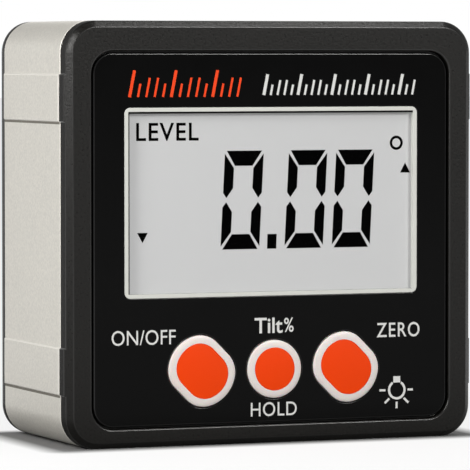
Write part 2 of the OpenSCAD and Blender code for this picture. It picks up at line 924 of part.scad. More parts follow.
module negative_lead() {
    color("#222222")
        lead(bay_z - cell_pitch / 2);
}

side_frame();
base_magnets();
front_bezel();
front_panel();
window_frame();
window_lens();
display_glass();
backlight_panel();
backlight_led();
display_connector();
display_holder();
main_board();
board_screws();
tilt_sensor();
controller_chip();
clock_crystal();
board_capacitors();
on_off_switch();
hold_switch();
zero_switch();
on_off_plunger();
hold_plunger();
zero_plunger();
on_off_key();
hold_key();
zero_key();
on_off_keytop();
hold_keytop();
zero_keytop();
rear_cover();
case_screws();
battery_door();
battery_upper();
battery_lower();
link_contact();
positive_contact();
negative_contact();
upper_spring();
lower_spring();
positive_lead();
negative_lead();
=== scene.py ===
"""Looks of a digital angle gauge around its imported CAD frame.

The frame gives every solid in metres: X to the right, Y from the display to the back, Z up from the base.
Flat print and display signs are given in millimetres on the front, X from the middle and Z from the base.
"""

import json
import math

import bmesh
import bpy
import numpy as np
from bpy.props import FloatProperty, FloatVectorProperty, PointerProperty
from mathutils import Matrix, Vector


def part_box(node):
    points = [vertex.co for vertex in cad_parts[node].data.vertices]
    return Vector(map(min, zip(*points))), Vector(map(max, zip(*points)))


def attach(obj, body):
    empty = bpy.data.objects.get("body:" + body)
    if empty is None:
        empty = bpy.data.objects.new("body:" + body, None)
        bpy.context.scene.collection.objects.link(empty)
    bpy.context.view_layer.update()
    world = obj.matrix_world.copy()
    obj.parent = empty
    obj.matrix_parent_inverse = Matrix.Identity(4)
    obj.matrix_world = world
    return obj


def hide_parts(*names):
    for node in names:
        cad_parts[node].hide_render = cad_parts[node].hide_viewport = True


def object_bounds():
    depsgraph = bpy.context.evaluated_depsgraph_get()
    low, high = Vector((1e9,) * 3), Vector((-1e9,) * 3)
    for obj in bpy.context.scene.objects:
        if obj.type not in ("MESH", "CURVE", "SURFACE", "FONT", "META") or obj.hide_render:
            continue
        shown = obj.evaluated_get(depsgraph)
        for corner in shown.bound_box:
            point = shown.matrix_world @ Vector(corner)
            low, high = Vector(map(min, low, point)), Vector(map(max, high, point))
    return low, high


bl_info = {
    "name": "Digital angle gauge",
    "version": (1, 0, 0),
    "blender": (4, 5, 0),
    "location": "View3D > Sidebar > Angle gauge",
    "description": "Dresses the CAD frame of a digital angle gauge and sets it on a plain stage",
    "category": "Object",
}

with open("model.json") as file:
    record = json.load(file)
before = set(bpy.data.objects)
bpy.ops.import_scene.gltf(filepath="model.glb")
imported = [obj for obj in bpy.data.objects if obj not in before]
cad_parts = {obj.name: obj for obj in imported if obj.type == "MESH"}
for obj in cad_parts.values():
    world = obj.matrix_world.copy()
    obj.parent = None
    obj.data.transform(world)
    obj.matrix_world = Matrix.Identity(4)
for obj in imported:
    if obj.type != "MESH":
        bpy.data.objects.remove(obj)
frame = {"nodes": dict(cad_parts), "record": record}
CAD_BOX = [list(corner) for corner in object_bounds()]
BODY_OF = {node: body for body, nodes in frame["record"]["behaviour"]["bodies"].items() for node in nodes}
SLOT_OF = {part["node"]: part["material_slot"] for part in frame["record"]["subparts"]}
MM = 0.001
WELD = 2e-6  # points of a CAD mesh that are closer are one point
FLAT_ANGLE = math.radians(0.5)  # triangles that meet at less lie in one flat face
EDGE_ANGLE = math.radians(28)  # faces of a solid that meet at more have an edge to round
CREASE_ANGLE = math.radians(32)  # faces of a new piece that meet at more are shaded apart
DRIFT = 9.0  # millimetres over which a colour drifts
LAND = 0.2  # millimetres that a land stands out of the frame's side
KEY_LIP = 0.5 * MM  # how far a key's flange stands out around its shoulder
KEY_RIM = 0.05 * MM  # flat ring around a key's coloured top, and the shoulder's distance from the panel
LAMP_TINT = (1.0, 0.99, 0.97)
LAMP_AIM = Vector((0, 0, 0.028))


def linear(colour):
    """A linear RGB triple from an sRGB hex string."""
    parts = np.array([int(colour[i:i + 2], 16) for i in (1, 3, 5)]) / 255
    return tuple(np.where(parts <= 0.04045, parts / 12.92, ((parts + 0.055) / 1.055) ** 2.4))


def front_of(node):
    """The Y of a node's front face."""
    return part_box(node)[0][1]


def colour_prop(name, description, value):
    """A colour that a user may change, from its sRGB hex value."""
    return FloatVectorProperty(name=name, description=description, default=linear(value), subtype="COLOR",
                               size=3, min=0, max=1)


def length_prop(name, description, millimetres):
    """A length that a user may change, from its value in millimetres."""
    return FloatProperty(name=name, description=description, default=millimetres * MM, unit="LENGTH",
                         precision=5, min=0)


class GaugeSizes(bpy.types.PropertyGroup):
    """Sizes of what the scene adds to the solids."""

    moulded_edge: length_prop("Moulded edge", "Rounding of the moulded plastic edges", 0.1)
    land_edge: length_prop("Land edge", "Rounding of the raised lands on the sides", 0.18)
    panel_edge: length_prop("Panel edge", "Rounding of the front panel's edges", 0.09)
    pocket_edge: length_prop("Pocket edge", "Rounding of the edge around the panel's pocket", 0.22)
    cut_edge: length_prop("Cut edge", "Rounding of the cut aluminium edges", 0.05)
    key_fillet: length_prop("Key fillet", "Rounding between a key's shoulder and its coloured top", 0.1)
    key_flange: length_prop("Key flange", "Thickness of the flange that keeps a key in", 0.8)
    key_core: length_prop("Key core", "Radius about which the corners of an oval key stand", 1.45)
    key_flat: length_prop("Key flat", "Distance of those corners from the middle, square to the flat sides", 0.85)
    key_ease: length_prop("Key ease", "How much rounder the corners of an oval key's top are than its foot's", 0.5)
    ink: length_prop("Ink", "Thickness of the printed signs", 0.02)
    digit_height: length_prop("Digit height", "Height of a display digit", 13.05)
    digit_width: length_prop("Digit width", "Width of a display digit", 5.44)
    digit_base: length_prop("Digit base", "Height of the digits above the base", 25.8)
    digit_lean: FloatProperty(name="Digit lean", description="Sideways lean of the digits", default=0.051)
    view_place: FloatVectorProperty(name="View place", description="Place of the camera from the middle of the base",
                                    default=(-0.2106, -0.5152, 0.0517), subtype="TRANSLATION", unit="LENGTH")
    view_turn: FloatProperty(name="View turn", description="Turn of the camera to the right of the Y axis",
                             default=math.radians(22.233), subtype="ANGLE", unit="ROTATION")
    view_tilt: FloatProperty(name="View tilt", description="Downward tilt of the camera",
                             default=math.radians(2.53), subtype="ANGLE", unit="ROTATION")


class GaugeColours(bpy.types.PropertyGroup):
    """Colours of the visible finishes."""

    aluminium: colour_prop("Aluminium", "Blasted and anodised frame", "#d8d5cd")
    case_plastic: colour_prop("Case plastic", "Bezel, rear cover and battery door", "#12110f")
    panel: colour_prop("Panel", "Polished front panel", "#070707")
    trim: colour_prop("Trim", "Window border", "#d6d7d1")
    orange: colour_prop("Orange", "Key tops and orange print", "#f44302")
    silicone: colour_prop("Silicone", "Key shoulders", "#e7deda")
    print_white: colour_prop("Print", "Light print on the panel", "#dcdcda")
    display: colour_prop("Display", "Clear part of the display", "#d5d6d7")
    display_ink: colour_prop("Display ink", "Switched-on part of the display", "#030303")


def add_node(tree, kind, inputs=None, **settings):
    """Adds a shader node, sets its properties, and sets or links its inputs."""
    made = tree.nodes.new(kind)
    for name, value in settings.items():
        setattr(made, name, value)
    for name, value in (inputs or {}).items():
        if isinstance(value, bpy.types.NodeSocket):
            tree.links.new(value, made.inputs[name])
        else:
            made.inputs[name].default_value = value
    return made


def surface(name, colour, roughness, metallic=0.0, grit=0.2, relief=0.0, mottle=0.06, rough_spread=0.08,
            speckle=0.0, **sockets):
    """A procedural surface: its colour drifts with soft noise, and fine noise gives gloss, specks and bumps.

    grit is the size of the surface's grain in millimetres, and relief the height of its bumps in millimetres. A grain
    under about 0.1 mm wouldn't show and is drawn at 0.1 mm or more. mottle and speckle are the shares by which the
    colour changes over centimetres and over a grain, and rough_spread is the change of roughness over a grain.
    """
    material = bpy.data.materials.new(name)
    material.use_nodes = True
    tree = material.node_tree
    shader = tree.nodes["Principled BSDF"]
    place = add_node(tree, "ShaderNodeTexCoord").outputs["Object"]
    drift = add_node(tree, "ShaderNodeTexNoise", {"Vector": place, "Scale": 1000 / DRIFT, "Detail": 3.0})
    grain = add_node(tree, "ShaderNodeTexNoise", {"Vector": place, "Scale": 1000 / grit, "Detail": 2.0})
    blend = add_node(tree, "ShaderNodeMix", {"Factor": drift.outputs["Fac"]}, data_type="RGBA")
    blend.inputs["A"].default_value = (*[c * (1 - mottle) for c in colour], 1)
    blend.inputs["B"].default_value = (*[min(1, c * (1 + mottle)) for c in colour], 1)
    shade = blend.outputs["Result"]
    if speckle:
        level = add_node(tree, "ShaderNodeMapRange", {"Value": grain.outputs["Fac"], "From Min": 0.3, "From Max": 0.7,
                                                      "To Min": 1 - speckle, "To Max": 1 + speckle})
        scaled = add_node(tree, "ShaderNodeVectorMath", {0: shade, 1: level.outputs["Result"]},
                          operation="MULTIPLY")
        shade = scaled.outputs[0]
    tree.links.new(shade, shader.inputs["Base Color"])
    shader.inputs["Roughness"].default_value = roughness
    if rough_spread:
        gloss = add_node(tree, "ShaderNodeMapRange", {"Value": grain.outputs["Fac"], "From Min": 0.25,
                                                      "From Max": 0.75, "To Min": max(0.02, roughness - rough_spread),
                                                      "To Max": min(1, roughness + rough_spread)})
        tree.links.new(gloss.outputs["Result"], shader.inputs["Roughness"])
    if relief:
        bump = add_node(tree, "ShaderNodeBump", {"Height": grain.outputs["Fac"], "Strength": 1.0,
                                                 "Distance": relief * MM})
        tree.links.new(bump.outputs["Normal"], shader.inputs["Normal"])
    shader.inputs["Metallic"].default_value = metallic
    for socket, value in sockets.items():
        shader.inputs[socket.replace("_", " ")].default_value = value
    return material


def show(obj, material):
    """Puts one material on an object."""
    obj.data.materials.clear()
    obj.data.materials.append(material)


def mesh_object(name, points, faces, material, body, smooth=True):
    """A new piece from points in metres and faces, riding on a body."""
    mesh = bpy.data.meshes.new(name)
    mesh.from_pydata(points, [], faces)
    mesh.validate()
    mesh.polygons.foreach_set("use_smooth", [smooth] * len(mesh.polygons))
    if smooth:
        mesh.set_sharp_from_angle(angle=CREASE_ANGLE)
    obj = bpy.data.objects.new(name, mesh)
    bpy.context.scene.collection.objects.link(obj)
    show(obj, material)
    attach(obj, body)
    return obj


def rounded_copy(node, width, material, edge_material=None, bold=None, bold_width=0.0):
    """A copy of a CAD solid with its doubles merged and its flat faces joined, whose edges a bevel rounds.

    Edges are rounded by width, or by bold_width where both of their ends pass the test bold. The rounding may take
    a material of its own.
    """
    source = frame["nodes"][node]
    work = bmesh.new()
    work.from_mesh(source.data)
    bmesh.ops.remove_doubles(work, verts=work.verts, dist=WELD)
    bmesh.ops.dissolve_limit(work, angle_limit=FLAT_ANGLE, verts=work.verts, edges=work.edges)
    weight = work.edges.layers.float.new("bevel_weight_edge")
    widest = max(width, bold_width)
    for edge in work.edges:
        if edge.calc_face_angle(0) > EDGE_ANGLE:
            edge[weight] = (bold_width if bold and all(bold(v.co) for v in edge.verts) else width) / widest
    mesh = bpy.data.meshes.new(node + "_shell")
    work.to_mesh(mesh)
    work.free()
    mesh.polygons.foreach_set("use_smooth", [True] * len(mesh.polygons))
    obj = bpy.data.objects.new(node + "_shell", mesh)
    bpy.context.scene.collection.objects.link(obj)
    bevel = obj.modifiers.new("Edge", "BEVEL")
    bevel.width = widest
    bevel.segments = 2
    bevel.limit_method = "WEIGHT"
    bevel.use_clamp_overlap = False
    shading = obj.modifiers.new("Flat faces", "WEIGHTED_NORMAL")
    shading.weight = 100
    show(obj, material)
    if edge_material:
        obj.data.materials.append(edge_material)
        bevel.material = 1
    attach(obj, BODY_OF[node])
    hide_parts(node)
    return obj


def key_loft(middle, core, flat, profile, count=20):
    """Points and faces of a closed form whose outline grows and shrinks along Y.

    The outline at each profile entry (radius, y, ease) is the set of points at the distance radius + ease from a
    small core, which is a disc of radius core - ease cut by two lines at the distance flat - ease from its middle.
    So it has two arcs about the middle, a corner arc at each of their ends, and two flat sides that face the upper
    right and the lower left. A larger ease makes its corners rounder at the same size. A core of 0 gives a circle.
    """
    radius, depth, ease = np.array(profile).T
    if core == 0:
        angle = np.arange(6 * count) * np.pi / (3 * count)
        angle = np.repeat(angle[None], len(radius), axis=0)
        stand = np.zeros((3, *angle.shape))
    else:
        core, flat, radius = (core - ease)[:, None], (flat - ease)[:, None], radius + ease
        turn = np.arccos(flat / core)
        share = np.linspace(0, 1, count)

        def run(first, arc, last):
            """Half of every outline: a value on the first corner arc, on the long arc and on the last corner arc."""
            return np.repeat(np.concatenate([first, arc, last], axis=1), (count, count - 2, count), axis=1)

        none, height = 0 * core, core * np.sin(turn)
        half = np.concatenate([turn * share, turn + (np.pi - 2 * turn) * share[1:-1], np.pi - turn * (1 - share)],
                              axis=1)
        across, along, reach = run(flat, none, -flat), run(height, none, height), run(none, core, none)
        angle = np.concatenate([half, half + np.pi], axis=1)
        stand = np.stack([np.concatenate([across, -across], axis=1), np.concatenate([along, -along], axis=1),
                          np.concatenate([reach, reach], axis=1)])
    u = stand[0] + (radius[:, None] + stand[2]) * np.cos(angle)
    v = stand[1] + (radius[:, None] + stand[2]) * np.sin(angle)
    y = np.repeat(depth[:, None], angle.shape[1], axis=1)
    x, z = middle[0] + (u - v) / math.sqrt(2), middle[1] + (u + v) / math.sqrt(2)
    points = np.stack([x, y, z], axis=-1).reshape(-1, 3)
    rows, around = angle.shape
    index = np.arange(rows * around).reshape(rows, around)
    following = np.roll(index, -1, axis=1)
    sides = np.stack([index[:-1], index[1:], following[1:], following[:-1]], axis=-1).reshape(-1, 4)
    caps = [index[0].tolist(), index[-1][::-1].tolist()]
    return points, sides.tolist() + caps


def turned(middle, along, around, way, count=72):
    """Points and faces of a profile turned about a line along X through the middle (y, z).

    Each profile entry gives a place along X and a radius, the angle runs once around, and a flat face closes each
    end. way is -1 where the profile runs towards +X, so that the faces point outwards.
    """
    angle = np.arange(count) * 2 * np.pi / count * way
    points = np.stack([np.repeat(along[:, None], count, axis=1),
                       middle[0] + around[:, None] * np.cos(angle),
                       middle[1] + around[:, None] * np.sin(angle)], axis=-1).reshape(-1, 3)
    index = np.arange(len(points)).reshape(len(along), count)
    nxt = np.roll(index, -1, axis=1)
    faces = np.stack([index[:-1], index[1:], nxt[1:], nxt[:-1]], axis=-1).reshape(-1, 4)
    return points, faces.tolist() + [index[0].tolist(), index[-1][::-1].tolist()]


def plates(outlines, front, thickness):
    """Points and faces of thin flat prisms, each from a closed outline of (x, z) in millimetres.

    Every outline stands twice, at the front and at front plus thickness, and strips join the two.
    """
    points, faces, start = [], [], 0
    for outline in outlines:
        flat = np.asarray(outline, float) * MM
        ahead = np.roll(flat, -1, axis=0)
        if np.sum(flat[:, 0] * ahead[:, 1] - ahead[:, 0] * flat[:, 1]) < 0:
            flat = flat[::-1]
        n = len(flat)
        for y in (front, front + thickness):
            points.append(np.column_stack([flat[:, 0], np.full(n, y), flat[:, 1]]))
        ring = np.arange(n)
        nxt = np.roll(ring, -1)
        faces.append((start + ring).tolist())
        faces.append((start + n + ring[::-1]).tolist())
        faces += (start + np.stack([nxt, ring, ring + n, nxt + n], axis=1)).tolist()
        start += 2 * n
    return np.concatenate(points), faces


def rectangle(left, right, bottom, top):
    """The four corners of an upright rectangle."""
    return [(left, bottom), (right, bottom), (right, top), (left, top)]


def stroke(a, b, width):
    """The four corners of a straight bar from a to b."""
    a, b = np.array(a, float), np.array(b, float)
    along = (b - a) / np.linalg.norm(b - a)
    side = np.array([-along[1], along[0]]) * width / 2
    return [a - side, b - side, b + side, a + side]


def arc_band(middle, outer, inner, start, end, count=40):
    """The outline of a band between two radii of a circle, from one angle to another in degrees."""
    t = np.radians(np.linspace(start, end, count))
    ring = np.stack([np.cos(t), np.sin(t)], axis=1)
    return np.concatenate([ring * outer, ring[::-1] * inner]) + np.array(middle)


def lettering(name, text, x, z, front, thickness, weight, material, body, spacing=1.0):
    """A word as flat prisms, stretched to fill the box from x[0] to x[1] and from z[0] to z[1] in millimetres."""
    curve = bpy.data.curves.new(name, "FONT")
    curve.body = text
    curve.size = 1
    curve.offset = weight
    curve.space_character = spacing
    curve.extrude = 0.5
    curve.resolution_u = 6
    holder = bpy.data.objects.new(name + "_text", curve)
    bpy.context.scene.collection.objects.link(holder)
    mesh = bpy.data.meshes.new_from_object(holder.evaluated_get(bpy.context.evaluated_depsgraph_get()))
    bpy.data.objects.remove(holder)
    bpy.data.curves.remove(curve)
    flat = np.empty(len(mesh.vertices) * 3)
    mesh.vertices.foreach_get("co", flat)
    flat = flat.reshape(-1, 3)
    low, high = flat.min(axis=0), flat.max(axis=0)
    share = (flat - low) / (high - low)
    placed = np.column_stack([(x[0] + share[:, 0] * (x[1] - x[0])) * MM,
                              front + (1 - share[:, 2]) * thickness,
                              (z[0] + share[:, 1] * (z[1] - z[0])) * MM])
    mesh.vertices.foreach_set("co", placed.ravel())
    mesh.update()
    obj = bpy.data.objects.new(name, mesh)
    bpy.context.scene.collection.objects.link(obj)
    show(obj, material)
    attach(obj, body)
    return obj


class GAUGE_OT_case(bpy.types.Operator):
    """Rounds the edges of the case's shells and gives them their finishes"""

    bl_idname = "gauge.case"
    bl_label = "Case"

    def execute(self, context):
        sizes, colours = context.scene.gauge_sizes, context.scene.gauge_colours
        # Extruded aluminium, blasted and clear anodised: a pale metal with a soft, slightly sparkling sheen. The
        # grain of the blasting is about 0.1 mm and is drawn coarser, so that it shows.
        aluminium = surface("blasted_anodised_aluminium", colours.aluminium, 0.42, metallic=0.55, grit=0.32,
                            relief=0.03, mottle=0.03, speckle=0.09, Specular_IOR_Level=0.14)
        # Moulded ABS from a spark-eroded tool: dark and matt, with a fine even grain. The grain is about 0.1 mm and
        # is drawn coarser, so that it shows.
        textured_abs = surface("spark_textured_abs", colours.case_plastic, 0.33, grit=0.3, relief=0.02, mottle=0.08,
                               speckle=0.3, Specular_IOR_Level=0.24)
        # Walls of the bezel, duller from the coarser grain that lets a moulding leave its tool.
        coarse_abs = surface("coarse_textured_abs", colours.case_plastic, 0.5, grit=0.3, relief=0.02, mottle=0.08,
                             speckle=0.3, Specular_IOR_Level=0.08)
        # Edges of the same plastic, rubbed smooth in use.
        rubbed_abs = surface("rubbed_abs", colours.case_plastic, 0.28, grit=0.3, mottle=0.08, rough_spread=0.0,
                             Specular_IOR_Level=0.5)
        # Edges of the aluminium, bright from the saw and the brush.
        bright_aluminium = surface("bright_aluminium", linear("#e0ddd6"), 0.4, metallic=0.1, grit=0.2, relief=0.002,
                                   mottle=0.03)
        # Cast acrylic with a black back coat: deep black under a smooth polish.
        acrylic = surface("black_acrylic", colours.panel, 0.12, grit=4.0, mottle=0.1, rough_spread=0.03,
                          Specular_IOR_Level=0.07)
        # Broken edge of the acrylic sheet, buffed.
        buffed_acrylic = surface("buffed_acrylic", linear("#070707"), 0.2, grit=1.0, mottle=0.1, rough_spread=0.02,
                                 Specular_IOR_Level=0.4)
        # Moulded white ABS, smooth and bright.
        white_abs = surface("white_abs", colours.trim, 0.4, grit=0.4, relief=0.003, mottle=0.02)
        # Black zinc on steel screws: dark metal with a rubbed sheen.
        black_zinc = surface("black_zinc_steel", linear("#4a4a4b"), 0.35, metallic=1.0, grit=0.1, relief=0.004)
        # Nickel plate on the pressed magnets: bright metal with a faint tumbled grain.
        nickel = surface("nickel_plate", linear("#c9c9c5"), 0.26, metallic=1.0, grit=0.12, relief=0.002)
        # The walls inside the window border: the same ABS, dull as moulded, and grey in the border's own shade.
        shaded_abs = surface("shaded_abs", linear("#8b8c89"), 0.6, grit=0.4, relief=0.003, mottle=0.04)
        # Painted shadow: a black strip without gloss along the window's upper and left edges, standing in for the
        # border's shadow on the display.
        window_shadow_paint = surface("painted_window_shadow", linear("#141414"), 0.9, grit=0.15, relief=0.02, mottle=0.1,
                       Specular_IOR_Level=0.1)
        # Painted shade below each land: a dull darker grey strip that stands in for the shadow under the land's lower
        # edge.
        land_shade_paint = surface("painted_land_shade", linear("#716e66"), 0.7, grit=0.2, relief=0.004, mottle=0.1,
                           Specular_IOR_Level=0.2)
        low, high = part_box("side_frame")
        side = high[0] - 0.02 * MM
        rounded_copy("side_frame", sizes.cut_edge, aluminium, bright_aluminium, bold_width=sizes.land_edge,
                     bold=lambda p: abs(p.x) > side)
        # The lands' lower edges are every other height of the points on the lands' faces.
        solid = frame["nodes"]["side_frame"].data
        points = np.empty(3 * len(solid.vertices))
        solid.vertices.foreach_get("co", points)
        points = points.reshape(-1, 3)
        lower_edges = (np.unique(np.round(points[points[:, 0] > side, 2], 5)) / MM)[::2]
        wall, margin = high[0] / MM - LAND, 0.2 * MM
        start, end = low[1] + margin, high[1] - margin
        # Painted shade: a thin dark strip on the side wall just under each land's lower edge.
        lines = [np.array(rectangle(wall - 0.05, wall + 0.02, z - 0.34, z - 0.04)) * (way, 1)
                 for way in (-1, 1) for z in lower_edges]
        land_shade_strips = mesh_object("painted_land_shade_strips", *plates(lines, start, end - start), land_shade_paint,
                                BODY_OF["side_frame"], smooth=False)
        for node, width, material, edge in (
                ("rear_cover", sizes.moulded_edge, textured_abs, rubbed_abs),
                ("battery_door", sizes.moulded_edge, textured_abs, rubbed_abs),
                ("front_panel", sizes.panel_edge, acrylic, buffed_acrylic),
                ("case_screws", sizes.cut_edge, black_zinc, None),
                ("base_magnets", sizes.moulded_edge, nickel, None)):
            rounded_copy(node, width, material, edge)
        low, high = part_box("front_panel")
        around, front = 0.5 * MM, front_of("front_bezel") + 0.01 * MM

        def by_the_pocket(p):
            """Whether a point lies on the bezel's front, close to the panel's outline or within it."""
            return p.y < front and abs(p.x) < high[0] + around and low[2] - around < p.z < high[2] + around

        bezel = rounded_copy("front_bezel", sizes.moulded_edge, textured_abs, rubbed_abs, by_the_pocket,
                             sizes.pocket_edge)
        bezel.data.materials.append(coarse_abs)
        for face in bezel.data.polygons:
            if abs(face.normal.y) < 0.3:
                face.material_index = 2
        border = rounded_copy("window_frame", sizes.cut_edge, white_abs)
        border.data.materials.append(shaded_abs)
        low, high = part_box("window_lens")
        middle = Vector(((low[0] + high[0]) / 2, 0, (low[2] + high[2]) / 2))
        # The border's inner walls are shaded, apart from the right one, which faces the light.
        for face in border.data.polygons:
            inward = middle - face.center
            inward.y = 0
            inner_wall = abs(face.normal.y) < 0.5 and face.normal.dot(inward) > 0
            face.material_index = int(inner_wall and face.normal.x > -0.5)
        left, right, bottom, top = (value / MM for value in (low[0], high[0], low[2], high[2]))
        # Painted shadow of the border: black strips along the upper and left edges of the window.
        under = top - 0.24
        window_shadow_strips = plates([rectangle(left, right, under, top), rectangle(left, left + 0.2, bottom, under)],
                      low[1] - sizes.ink, sizes.ink)
        mesh_object("painted_window_shadow_strips", *window_shadow_strips, window_shadow_paint, BODY_OF["window_lens"], smooth=False)
        return {"FINISHED"}


class GAUGE_OT_inside(bpy.types.Operator):
    """Gives the pieces inside the case their finishes"""

    bl_idname = "gauge.inside"
    bl_label = "Inside"

    def execute(self, context):
        colours = context.scene.gauge_colours
        finishes = {
            # Clear acrylic window: hardly seen, with a trace of gloss.
            "clear": surface("clear_acrylic", linear("#202222"), 0.08, grit=3.0, mottle=0.01, rough_spread=0.02,
                             Specular_IOR_Level=0.03, Alpha=0.02),
            # Grey display: matt polarising film on glass, evened out by a faint glow of the panel behind it.
            "lcd": surface("polarising_film", [0.72 * c for c in colours.display], 0.5, grit=0.12, relief=0.001,
                           mottle=0.012, Specular_IOR_Level=0.15, Emission_Color=(1, 1, 1, 1),
                           Emission_Strength=0.17),
            # Fibreglass board under solder mask: deep green with a silky gloss.
            "board": surface("solder_mask", linear("#1f6b45"), 0.35, grit=0.5, relief=0.004, mottle=0.12),
            # Moulded epoxy of chips, switches and capacitors: dark grey and matt.
            "chip": surface("moulded_epoxy", linear("#242528"), 0.55, grit=0.12, relief=0.004),
            # Opal polycarbonate of the light guide: milky white and smooth.
            "diffuser": surface("opal_polycarbonate", linear("#eceee8"), 0.4, grit=0.5, mottle=0.02),
            # Conductive silicone of the display connector: grey and dull.
            "connector_rubber": surface("conductive_silicone", linear("#8a8f98"), 0.6, grit=0.2, relief=0.004),
            # Moulded acetal of the holder: waxy off-white.
            "white_trim": surface("white_acetal", linear("#e6e4da"), 0.42, grit=0.4, mottle=0.02),
            # Zinc plate on the board's steel screws: bluish bright metal.
            "screw": surface("zinc_plated_steel", linear("#b4b6b8"), 0.3, metallic=1.0, grit=0.1, relief=0.003),
            # Nickel plate on the spring steel of the contacts: pale metal, softened by the drawing of the wire.
            "tin": surface("nickel_plated_spring_steel", linear("#d2cfc4"), 0.4, metallic=0.5, grit=0.1,
                           relief=0.002),
            # Extruded vinyl of the two leads: satin and evenly coloured.
            "lead_red": surface("red_wire_insulation", linear("#b3241c"), 0.42, grit=0.3, relief=0.003),
            "lead_black": surface("black_wire_insulation", linear("#222222"), 0.42, grit=0.3, relief=0.003),
        }
        for node, obj in frame["nodes"].items():
            if SLOT_OF[node] in finishes and node != "window_frame":
                show(obj, finishes[SLOT_OF[node]])
        return {"FINISHED"}


class GAUGE_OT_cells(bpy.types.Operator):
    """Dresses the two cells: a shrunk sleeve in two tones on a nickel-plated can"""

    bl_idname = "gauge.cells"
    bl_label = "Cells"

    def execute(self, context):
        # Shrink film over the can: satin, with a faint ripple from the shrinking.
        film = surface("sleeve_film", linear("#33566b"), 0.3, grit=1.2, relief=0.003, mottle=0.05)
        # The same film, printed in a pale tone around the button's end.
        band = surface("sleeve_band", linear("#c3c6c4"), 0.3, grit=1.2, relief=0.003, mottle=0.04)
        # Nickel plate on the drawn steel can: bright metal with a soft sheen.
        can = surface("nickel_plated_can", linear("#c6c5c0"), 0.3, metallic=0.8, grit=0.2, relief=0.003)
        full = 5.25
        for name, way in (("battery_upper", 1), ("battery_lower", -1)):
            low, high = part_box(name)
            button = high[0] if way > 0 else low[0]
            radius = (high[2] - low[2]) / 2
            middle = ((low[1] + high[1]) / 2, (low[2] + high[2]) / 2)
            length = high[0] - low[0]
            # Profiles as places along X and radii in millimetres: first from the button's end, then from the foot.
            for piece, finish, near, far in (
                    ("band", band, ((0.8, 4.35), (0.8, 4.9), (0.95, 5.15), (1.25, 5.25), (11.5, 5.25), (11.5, 4.9)),
                     ()),
                    ("sleeve", film, ((11.5, 4.9), (11.5, 5.25)),
                     ((-0.45, 5.25), (-0.15, 5.15), (0, 4.9), (0, 4.35))),
                    ("can", can, ((0, 0.02), (0, 1.75), (0.15, 1.9), (0.85, 1.9), (1.0, 2.2), (1.0, 4.4), (1.2, 4.8)),
                     ((-0.6, 4.8), (-0.2, 4.4), (-0.1, 4.1), (-0.02, 3.9), (-0.02, 0.02)))):
                along = np.array([x * MM for x, r in near] + [length + x * MM for x, r in far])
                around = np.array([r for x, r in near + far]) / full * radius
                form = turned(middle, button - way * along, around, way)
                obj = mesh_object(f"{name}_{piece}", *form, finish, BODY_OF[name])
                if piece == "sleeve":
                    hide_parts(name)
        return {"FINISHED"}


class GAUGE_OT_keys(bpy.types.Operator):
    """Builds the three keys: a white silicone shoulder around a satin orange top"""

    bl_idname = "gauge.keys"
    bl_label = "Keys"

    def execute(self, context):
        sizes, colours = context.scene.gauge_sizes, context.scene.gauge_colours
        # Moulded silicone rubber: satin white with a soft glow at the edges.
        silicone = surface("white_silicone", colours.silicone, 0.42, grit=0.25, relief=0.004, mottle=0.015,
                           Subsurface_Weight=0.15, Subsurface_Scale=0.0006)
        # Moulded orange ABS with a satin face.
        orange_abs = surface("orange_abs", colours.orange, 0.36, grit=0.3, relief=0.004, mottle=0.03,
                             Specular_IOR_Level=0.15)
        panel = front_of("front_panel")
        rise, turn = np.radians(np.linspace(0, 90, 13)), np.radians(np.linspace(0, 90, 7))
        for name in ("on_off", "hold", "zero"):
            low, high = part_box(name + "_key")
            top_low, top_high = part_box(name + "_keytop")
            middle = ((low[0] + high[0]) / 2, (low[2] + high[2]) / 2)
            wall, foot = high[1] - sizes.key_flange, panel - KEY_RIM
            oval = name != "hold"
            core, flat, ease = (sizes.key_core, sizes.key_flat, sizes.key_ease) if oval else (0.0, 0.0, 0.0)
            inset = (flat + math.sqrt(core ** 2 - flat ** 2)) / math.sqrt(2)
            flange_radius = (high[0] - low[0]) / 2 - inset
            top_radius = (top_high[0] - top_low[0]) / 2 - inset
            radius = flange_radius - KEY_LIP
            slope = radius - top_radius - KEY_RIM
            # The shoulder is a quarter of an ellipse, from the foot at the panel to the rim of the coloured top.
            shoulder = list(zip(radius - slope * (1 - np.cos(rise)), foot - (foot - low[1]) * np.sin(rise),
                                ease * (1 - np.cos(rise))))
            shell = ([(flange_radius, high[1], 0), (flange_radius, wall, 0), (radius, wall, 0)] + shoulder
                     + [(top_radius, low[1], ease), (top_radius, top_high[1], ease)])
            key = mesh_object(name + "_shoulder", *key_loft(middle, core, flat, shell), silicone,
                              BODY_OF[name + "_key"])
            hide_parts(name + "_key")
            fillet = sizes.key_fillet
            cap = ([(top_radius, top_high[1], ease)]
                   + list(zip(top_radius - fillet * (1 - np.cos(turn)), low[1] + fillet * (1 - np.sin(turn)),
                              np.full(len(turn), ease))))
            top = mesh_object(name + "_face", *key_loft(middle, core, flat, cap), orange_abs,
                              BODY_OF[name + "_keytop"])
            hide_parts(name + "_keytop")
        return {"FINISHED"}


